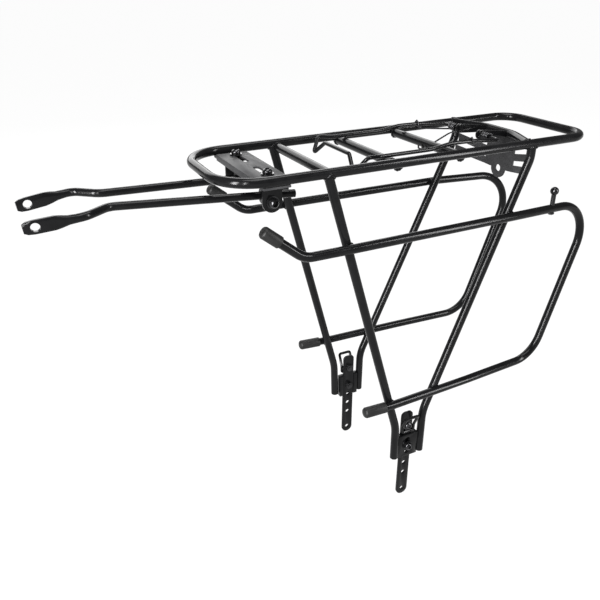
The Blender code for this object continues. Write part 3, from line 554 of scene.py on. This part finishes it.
# ------------------------------------------ stay brackets, clamps and stays
WEB_T = 2.5
FL_TOP = zb - GAP
for nm, s in SIDES:
    yb = s * BRK_BOLT_Y
    web_in, web_out = 49.2, 51.7
    c = stay_at(CLAMP_X, s)
    zc = c.z - CLAMP_DROP
    # bracket: flange under the plate, web hanging on its outer side
    bm = bmesh.new()
    web = [(CLAMP_X - BRK_HALF, FL_TOP - 0.1)] + arc(CLAMP_X, zc, BRK_HALF, 180, 360, 10) + [(CLAMP_X + BRK_HALF, FL_TOP - 0.1)]
    prism(bm, web, s * web_in, s * web_out, 'Y')
    brk = add(nm + "_stay_bracket", bm, COAT, pivot=(SLOT_X, yb, FL_TOP))
    bm = bmesh.new()
    box(bm, (CLAMP_X - BRK_HALF, min(s * 33.0, s * web_out), FL_TOP - WEB_T), (CLAMP_X + BRK_HALF, max(s * 33.0, s * web_out), FL_TOP))
    cut(brk, bm, 'UNION')
    bm = bmesh.new()
    prism(bm, circle(SLOT_X, yb, 3.2, 12), FL_TOP + 3, FL_TOP - WEB_T - 3, 'Z')
    cut(brk, bm)
    bm = bmesh.new()
    prism(bm, circle(CLAMP_X, zc, 3.1, 12), s * (web_in - 3), s * (web_out + 3), 'Y')
    cut(brk, bm)
    # its bolt, washer and nut
    bm = bmesh.new()
    washer(bm, (SLOT_X, yb, zt + GAP), (0, 0, 1), 3.1, 6.4, 1.1)
    add(nm + "_bracket_washer", bm, BOLT, pivot=(SLOT_X, yb, FL_TOP))
    bm = bmesh.new()
    dome_head(bm, (SLOT_X, yb, zt + GAP + 1.1 + GAP), (0, 0, 1), 4.9, 4.6, 2.7, 14.5, 12)
    add(nm + "_bracket_bolt", bm, BOLT, pivot=(SLOT_X, yb, FL_TOP))
    bm = bmesh.new()
    hex_nut(bm, (SLOT_X, yb, FL_TOP - WEB_T - GAP), (0, 0, -1), 10.0, 3.1, 4.6)
    add(nm + "_bracket_nut", bm, BOLT, pivot=(SLOT_X, yb, FL_TOP))
    # stay clamp: an eye round the stay with a threaded shank through the web
    pv = (CLAMP_X, s * web_in, zc)
    ax = Vector((STAY_DIR[0], s * STAY_DIR[1], STAY_DIR[2])).normalized()
    half = 4.5
    bm = bmesh.new()
    turned(bm, c - ax * half, ax, [(0, STAY_R + GAP), (0, 7.6), (2 * half, 7.6), (2 * half, STAY_R + GAP)], 16)
    eye = add(nm + "_stay_clamp", bm, COAT, pivot=pv)
    bm = bmesh.new()
    y_eye, y_web = abs(c.y) + 5.4, web_in - GAP
    turned(bm, (CLAMP_X, s * y_eye, zc), (0, s, 0), [(0, 0), (0, 4.3), (y_web - y_eye, 4.3), (y_web - y_eye, 2.7),
                                                     (56.0 - y_eye, 2.7), (56.0 - y_eye, 0)], 12)
    cut(eye, bm, 'UNION')
    bm = bmesh.new()
    washer(bm, (CLAMP_X, s * (web_out + GAP), zc), (0, s, 0), 3.1, 6.6, 1.2)
    add(nm + "_clamp_washer", bm, BOLT, pivot=pv)
    bm = bmesh.new()
    turned(bm, (CLAMP_X, s * (web_out + 1.2 + 2 * GAP), zc), (0, s, 0),
           [(0, 3.0), (0, 5.1), (2.6, 5.1), (4.6, 3.9), (5.6, 2.2), (5.9, 0), (4.6, 0), (4.2, 3.0)][:1] +
           [(0, 5.1), (2.6, 5.1), (4.6, 3.9), (5.4, 3.0)], 12)
    add(nm + "_clamp_nut", bm, BOLT, pivot=pv)
    # the stay
    A = stay_at(84.0, s)
    B = stay_at(-95.5, s)
    C = Vector((-118.5, s * 40.0, -15.6))
    D = Vector((-170.2, s * 33.2, -20.9))
    base = fillet([A, B, C, D], [0, 17, 17, 0], 12)
    head = base[:-1]
    d = (D - base[-2]).normalized()
    ln = (D - base[-2]).length
    extra = []
    for f in (0.16, 0.30, 0.42, 0.80, 0.93, 1.0):
        extra.append(base[-2] + d * (ln * f))
    P = head + extra
    nh = len(head)
    forms = {nh: (4.4, 3.6, 0.95), nh + 1: (5.8, 2.7, 0.7), nh + 2: (6.6, 2.2, 0.5), nh + 3: (6.6, 2.2, 0.5),
             nh + 4: (5.9, 2.2, 0.5), nh + 5: (4.2, 2.0, 0.5)}
    stay = rod(nm + "_stay", P, COAT, r=STAY_R, sides=12, pivot=(c.x, c.y, c.z),
               shape=lambda i, f=forms: f.get(i, (STAY_R, STAY_R, 1.0)))
    hc = D - d * 10.2
    bm = bmesh.new()
    turned(bm, (hc.x, hc.y - 6, hc.z), (0, 1, 0), [(0, 0), (0, 4.1), (12, 4.1), (12, 0)], 14)
    cut(stay, bm)

# ------------------------------------------------------------- spring clip
def clip_half(s):
    return [(CLIP_X, s * 13.5, CLIP_Z), (CLIP_X, s * CLIP_Y, CLIP_Z), (291.0, s * CLIP_Y, 7.2),
            (262.0, s * CLIP_Y, 7.8), (238.0, s * (CLIP_Y - 0.3), 4.0), (172.0, s * (CLIP_Y - 0.5), 4.0),
            (157.0, s * 54.0, 5.6), (146.0, s * 45.0, -10.6), (151.0, s * 26.5, 4.4)]


half_r = [0, 6, 40, 60, 60, 20, 5, 4.5, 5]
pr, pl = clip_half(1), clip_half(-1)
clip = rod("clip_wire", fillet(pr + list(reversed(pl)), half_r + list(reversed(half_r)), 22), COAT,
           r=CLIP_R, sides=WIRE_N, pivot=(CLIP_X, 0, CLIP_Z))

for nm, s in SIDES:
    # lug that carries the clip's pivot end
    bm = bmesh.new()
    ol = arc(CLIP_X, CLIP_Z, 5.4, 78, 278, 8) + [(BOW_MID_X - ROD_R - 0.5, -4.2), (BOW_MID_X - ROD_R - 0.5, 3.8)]
    prism(bm, ol, s * 17.0, s * 19.6, 'Y')
    lug = add(nm + "_clip_lug", bm, COAT)
    bm = bmesh.new()
    prism(bm, circle(CLIP_X, CLIP_Z, CLIP_R + GAP, 12), s * 14.0, s * 23.0, 'Y')
    cut(lug, bm)
    # torsion spring: coil on the pivot end, one leg to the third cross rod,
    # the other leg hooked over the clip's arm
    wr, cr, turns = 0.85, 3.7, 5.0
    seg = 20
    wr = 1.0
    y_in, pitch = 24.5, 2.2
    pts = []
    # anchored leg: hook under the third cross rod, then back to the coil
    hx = CROSS_X[2]
    pts += [Vector((hx - 7.6, s * 3.6, CROSS_Z - 1.0)), Vector((hx - 7.2, s * 3.6, CROSS_Z - 5.0)),
            Vector((hx - 3.2, s * 3.8, CROSS_Z - 6.9)), Vector((hx + 6.0, s * 6.4, CROSS_Z - 6.2)),
            Vector((CLIP_X - 16.0, s * 19.4, CLIP_Z - 5.4))]
    total = turns + 0.02
    n = int(seg * total)
    for i in range(n + 1):
        a = math.radians(270) - 2 * math.pi * total * i / n
        y = y_in + pitch * total * i / n
        pts.append(Vector((CLIP_X + cr * math.cos(a), s * y, CLIP_Z + cr * math.sin(a))))
    ye = y_in + pitch * total
    xo = 289.0
    pts += [Vector((CLIP_X - 16.0, s * (ye + 2.6), CLIP_Z - 2.4)), Vector((xo + 6.0, s * (CLIP_Y - 5.6), 2.4)),
            Vector((xo, s * (CLIP_Y - 3.6), 4.0)), Vector((xo, s * (CLIP_Y - 3.0), 9.0)),
            Vector((xo, s * (CLIP_Y + 0.6), 11.2)), Vector((xo, s * (CLIP_Y + 3.6), 8.2))]
    rod(nm + "_clip_spring", pts, SPRING, r=wr, sides=THIN_N)

# ------------------------------------------------------- rear light bracket
LBX, LBT = 379.6, 1.8
LB_HALF = 24.0                          # flat middle part, half width
WING_Y = 60.8                           # where the arms meet the rear legs
WING_RISE = 9.5                         # how far the arms rise on the way
LB_TOP, LB_LOW, TAB_Z, TAB_R = -2.5, -45.5, -45.8, 12.0
tab = [(TAB_R * math.cos(math.radians(a)), TAB_Z + TAB_R * math.sin(math.radians(a))) for a in range(0, -181, -20)]
outline = [(-LB_HALF, LB_TOP), (LB_HALF, LB_TOP), (LB_HALF, LB_LOW), (TAB_R + 2.5, LB_LOW - 0.6)] + \
          [q for q in tab] + [(-TAB_R - 2.5, LB_LOW - 0.6), (-LB_HALF, LB_LOW)]
bm = bmesh.new()
prism(bm, outline, LBX - LBT / 2, LBX + LBT / 2, 'X')
lb = add("rear_light_bracket", bm, COAT, smooth=False)
for s in (-1, 1):
    for za, zc_, wing_x in ((-23.5, -32.0, 364.2), (-37.5, -45.6, 360.0)):
        bm = bmesh.new()
        dx, dy = wing_x - LBX, WING_Y - LB_HALF
        ln = math.hypot(dx, dy)
        nx, ny = dy / ln * LBT / 2, -dx / ln * LBT / 2
        back = 0.6
        ax_, ay_ = LBX - dx / ln * back, LB_HALF - dy / ln * back
        ol = [(ax_ + nx, s * (ay_ + ny)), (wing_x + nx, s * (WING_Y + ny)), (wing_x - nx, s * (WING_Y - ny)), (ax_ - nx, s * (ay_ - ny))]
        prism(bm, ol, za, zc_, 'Z')
        for v in bm.verts:
            v.co.z += WING_RISE * max(0.0, (abs(v.co.y) - LB_HALF) / (WING_Y - LB_HALF))
        cut(lb, bm, 'UNION')
bm = bmesh.new()
prism(bm, circle(0, TAB_Z, 4.3, 14), LBX - 5, LBX + 5, 'X')
cut(lb, bm)

# ------------------------------------------------------------------- feet
for nm, s in SIDES:
    x0, x1 = FLEG_END[0] + ROD_R + GAP, RLEG_END[0] - ROD_R - GAP
    zt_b, zb_b = -346.0, -379.5
    yo, yi = 78.4, STRAP_Y + STRAP_T / 2 + GAP       # outer face, strap face
    yr = STRAP_Y - STRAP_T / 2 - 0.6                  # inner face of the guide ribs
    sx0, sx1 = STRAP_X - STRAP_W / 2 - GAP, STRAP_X + STRAP_W / 2 + GAP
    bm = bmesh.new()
    outline = [(x0, s * yo), (x1, s * yo), (x1, s * yi), (x1 - 0.5, s * (yi - 0.4)), (x1 - 0.5, s * yr),
               (sx1, s * yr), (sx1, s * yi), (sx0, s * yi), (sx0, s * yr), (x0, s * yr)]
    prism(bm, outline, zt_b, zb_b, 'Z')
    foot = add(nm + "_foot_bracket", bm, COAT, smooth=False)
    bm = bmesh.new()
    prism(bm, slot_outline(STRAP_X, -375.1, -349.9, 6.6, 6), s * (yi - 4), s * (yo + 4), 'Y')
    cut(foot, bm)
    # perforated strap
    pv = (STRAP_X, s * STRAP_Y, SLIDE_BOLT_Z)
    r = STRAP_W / 2
    rc = 5.0
    ol = [(STRAP_X - r + rc + rc * math.cos(math.radians(a)), STRAP_TOP - rc + rc * math.sin(math.radians(a))) for a in (180, 150, 120, 90)] + \
         [(STRAP_X + r - rc + rc * math.cos(math.radians(a)), STRAP_TOP - rc + rc * math.sin(math.radians(a))) for a in (90, 60, 30, 0)] + \
         arc(STRAP_X, STRAP_BOT + r, r, 0, -180, 10)
    bm = bmesh.new()
    prism(bm, ol, s * (STRAP_Y - STRAP_T / 2), s * (STRAP_Y + STRAP_T / 2), 'Y')
    strap = add(nm + "_foot_strap", bm, COAT, pivot=pv)
    bm = bmesh.new()
    for z in STRAP_HOLES:
        prism(bm, circle(STRAP_X, z, 2.8, 12), s * (STRAP_Y - 6), s * (STRAP_Y + 6), 'Y')
    for z in (HOOK_BOLT_Z, SLIDE_BOLT_Z):
        prism(bm, circle(STRAP_X, z, 3.0, 12), s * (STRAP_Y - 6), s * (STRAP_Y + 6), 'Y')
    cut(strap, bm)
    # hook loop for a strap's end: bent wire rectangle held under its bolt
    y_in = STRAP_Y + STRAP_T / 2 + GAP
    hr = 1.9
    yb_, yt_ = y_in + hr, y_in + hr + 8.0
    zl, zh = HOOK_BOLT_Z - 9.0, HOOK_BOLT_Z + 17.0
    hx0, hx1 = STRAP_X - 8.4, STRAP_X + 8.4
    P = fillet([(hx0, s * yb_, zl), (hx1, s * yb_, zl), (hx1, s * (yb_ + 0.3), zl + 9), (hx1, s * yt_, zh),
                (hx0, s * yt_, zh), (hx0, s * (yb_ + 0.3), zl + 9)], [2.4, 2.4, 12, 2.4, 2.4, 12], 30, closed=True)
    rod(nm + "_hook_loop", P, COAT, r=hr, sides=8, closed=True, pivot=pv)
    # hook bolt: clamps a clip plate that presses the loop on the strap
    bm = bmesh.new()
    washer(bm, (STRAP_X, s * y_in, HOOK_BOLT_Z), (0, s, 0), 3.1, 6.3, 2.2)
    add(nm + "_hook_washer", bm, BOLT, pivot=pv)
    bm = bmesh.new()
    dome_head(bm, (STRAP_X, s * (y_in + 2.2 + GAP), HOOK_BOLT_Z), (0, s, 0), 4.9, 3.4, 2.7, 11.0, 12)
    add(nm + "_hook_bolt", bm, BOLT, pivot=pv)
    bm = bmesh.new()
    hex_nut(bm, (STRAP_X, s * (STRAP_Y - STRAP_T / 2 - GAP), HOOK_BOLT_Z), (0, -s, 0), 9.0, 3.0, 4.0)
    add(nm + "_hook_nut", bm, BOLT, pivot=pv)
    # slide bolt through the bracket's slot
    bm = bmesh.new()
    washer(bm, (STRAP_X, s * (yo + GAP), SLIDE_BOLT_Z), (0, s, 0), 3.1, 6.3, 1.2)
    add(nm + "_strap_washer", bm, BOLT, pivot=pv)
    bm = bmesh.new()
    dome_head(bm, (STRAP_X, s * (yo + GAP + 1.2 + GAP), SLIDE_BOLT_Z), (0, s, 0), 5.2, 4.4, 2.7, 14.0, 12)
    add(nm + "_strap_bolt", bm, BOLT, pivot=pv)
    bm = bmesh.new()
    hex_nut(bm, (STRAP_X, s * (STRAP_Y - STRAP_T / 2 - GAP), SLIDE_BOLT_Z), (0, -s, 0), 9.0, 3.0, 4.0)
    add(nm + "_strap_nut", bm, BOLT, pivot=pv)

# ------------------------------------------------------------- weld beads
def weld_ring(bm, corner, along, main, shift, r=ROD_R, big=ROD_R, bead=1.25, seed=0, floor_h=0.0):
    """Rippled bead where a rod leaving along `along` meets the rod with
    direction `main` through the point corner."""
    E, a, m, sh = Vector(corner), Vector(along).normalized(), Vector(main).normalized(), Vector(shift)
    n1 = m.cross(a).normalized()
    n2 = a.cross(n1).normalized()
    P = []
    N = 44
    for k in range(N):
        f = 2 * math.pi * k / N
        q = n1 * (r * math.cos(f)) + n2 * (r * math.sin(f)) + sh
        u = a - m * a.dot(m)
        v = q - m * q.dot(m)
        A, B, C = u.dot(u), 2 * u.dot(v), v.dot(v) - big * big
        disc = B * B - 4 * A * C
        h = (-B + math.sqrt(disc)) / (2 * A) if disc > 0 else 0.0
        h = max(h, floor_h)
        P.append(E + q + a * h)
    F = frames(P, True)
    rings = []
    S = 8
    for i, p in enumerate(P):
        n, b = F[i]
        rr = bead * (1.0 + 0.16 * math.sin(2 * math.pi * i * 11 / N + seed) + 0.05 * math.sin(i * 2.7 + seed))
        rings.append([bm.verts.new(p + n * (rr * math.cos(2 * math.pi * k / S)) + b * (rr * math.sin(2 * math.pi * k / S)))
                      for k in range(S)])
    for i in range(N):
        A_, B_ = rings[i], rings[(i + 1) % N]
        for k in range(S):
            bm.faces.new((A_[k], A_[(k + 1) % S], B_[(k + 1) % S], B_[k]))


bm = bmesh.new()
for i, w in enumerate(WELDS):
    weld_ring(bm, *w, seed=i * 1.3, floor_h=4.7 if w[3][2] else 0.0)


def crossing(bm, p, q, dp, dq, seed=0.0):
    """Bead lines in the valleys where two rods touch while crossing."""
    p, q, dp, dq = Vector(p), Vector(q), Vector(dp).normalized(), Vector(dq).normalized()
    mid = (p + q) / 2
    z = (q - p).normalized()
    for sg in (-1, 1):
        e1 = (dp + dq * sg).normalized()
        e2 = z.cross(e1).normalized()
        P = [mid + e1 * t + e2 * 0 for t in (-5.6, -3.4, -1.2, 1.2, 3.4, 5.6)]
        sweep(bm, P, 1.7, 10, shape=lambda i: (1.9 - 0.12 * abs(i - 2.5) ** 2, 1.9 - 0.12 * abs(i - 2.5) ** 2, 1.0))


def at_z(path, z):
    for a, b in zip(path, path[1:]):
        if (a.z - z) * (b.z - z) <= 0 and abs(a.z - b.z) > 1e-6:
            t = (z - a.z) / (b.z - a.z)
            return a + (b - a) * t, (b - a).normalized()
    return None


def nearest(path, p):
    best = None
    for a, b in zip(path, path[1:]):
        d = b - a
        t = min(1, max(0, (p - a).dot(d) / max(1e-9, d.length_squared)))
        c = a + d * t
        if best is None or (c - p).length < best[0]:
            best = ((c - p).length, c, d.normalized())
    return best


for nm, s in SIDES:
    for leg in LEG_PATHS[nm]:
        for z in (SIDE_TOP_Z, SIDE_LOW_Z):
            hit = at_z(leg, z)
            if hit:
                c, d = hit
                near = nearest(RAIL_FULL[nm], c)
                if near[0] < 16:
                    crossing(bm, c, near[1], d, near[2])
welds = add_piece = None
bm.transform(Matrix.Translation(Vector((-OX, 0, OZ))))
bm.transform(Matrix.Scale(0.001, 4))
bmesh.ops.recalc_face_normals(bm, faces=bm.faces)
me = bpy.data.meshes.new("weld_beads")
bm.to_mesh(me)
bm.free()
me.shade_smooth()
me.materials.append(COAT)
welds = bpy.data.objects.new("weld_beads", me)
bpy.context.scene.collection.objects.link(welds)
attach(welds, "frame")

# ------------------------------------------------- finish the looks' meshes
for name, ob in MADE.items():
    if any(k in name for k in PRESSED):
        bv = ob.modifiers.new("edge", 'BEVEL')
        bv.width = 0.00035
        bv.segments = 2
        bv.limit_method = 'ANGLE'
        bv.angle_limit = math.radians(50)
        settle(ob)
    ob.data.shade_smooth()
    ob.data.set_sharp_from_angle(angle=math.radians(42))
    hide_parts(name)
    if name.endswith("_clip_spring"):
        s = -1 if name.startswith("left") else 1
        a = place((CLIP_X - 10, s * 38.0, CLIP_Z))
        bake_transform(ob)
    else:
        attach(ob, BODY_OF[name])

# ------------------------------------------------------------------ stage
def plane(name, size, z, col, emit=0.0):
    me = bpy.data.meshes.new(name)
    h = size / 2
    me.from_pydata([(-h, -h, z), (h, -h, z), (h, h, z), (-h, h, z)], [], [(0, 1, 2, 3)])
    o = bpy.data.objects.new(name, me)
    bpy.context.scene.collection.objects.link(o)
    m = bpy.data.materials.new(name)
    nt, b = nodes_of(m)
    b.inputs["Base Color"].default_value = (col, col, col, 1)
    b.inputs["Roughness"].default_value = 0.9
    b.inputs["Specular IOR Level"].default_value = 0.0
    if emit:
        b.inputs["Emission Color"].default_value = (1, 1, 1, 1)
        b.inputs["Emission Strength"].default_value = emit
    me.materials.append(m)
    return o


plane("floor", 120.0, -0.0015, 0.05, 0.96)

world = bpy.data.worlds.new("studio")
bpy.context.scene.world = world
world.use_nodes = True
bg = world.node_tree.nodes["Background"]
bg.inputs["Color"].default_value = (1, 1, 1, 1)
bg.inputs["Strength"].default_value = 0.22


def area(name, loc, target, w, h, power, spread=180):
    d = bpy.data.lights.new(name, 'AREA')
    d.shape = 'RECTANGLE'
    d.size, d.size_y = w, h
    d.energy = power
    d.spread = math.radians(spread)
    o = bpy.data.objects.new(name, d)
    o.location = loc
    o.rotation_euler = (Vector(target) - Vector(loc)).to_track_quat('-Z', 'Y').to_euler()
    bpy.context.scene.collection.objects.link(o)
    return o


mid = (0.02, 0.0, 0.28)
area("key", (-1.7, -0.9, 0.75), mid, 0.34, 1.7, 130)
area("key_thin", (-1.25, -1.5, 0.85), mid, 0.1, 1.6, 34)
area("side", (1.3, -1.5, 1.0), mid, 0.22, 1.6, 40)
area("back", (0.3, 1.9, 1.3), mid, 2.4, 1.2, 34)
area("top", (0.1, -0.1, 2.1), mid, 1.6, 0.8, 36)

# ----------------------------------------------------------------- camera
cam = bpy.data.cameras.new("camera")
cam.sensor_width = 36.0
cam.lens = 643.59 / 600.0 * 36.0
cam.clip_start, cam.clip_end = 0.01, 50.0
co = bpy.data.objects.new("camera", cam)
bpy.context.scene.collection.objects.link(co)
fwd = Vector((0.38614409, 0.80270225, -0.45449076))
right = Vector((0.8993912, -0.43707503, -0.00780327))
up = Vector((0.20491026, 0.4057518, 0.89071727))
M = Matrix.Identity(4)
for i in range(3):
    M[i][0], M[i][1], M[i][2] = right[i], up[i], -fwd[i]
C = place((-181.69, -598.27, 171.98))
M[0][3], M[1][3], M[2][3] = C
co.matrix_world = M
cam.shift_x = 0.0
bpy.context.scene.camera = co
bpy.context.scene.view_settings.view_transform = 'Standard'
bpy.context.scene.view_settings.look = 'None'
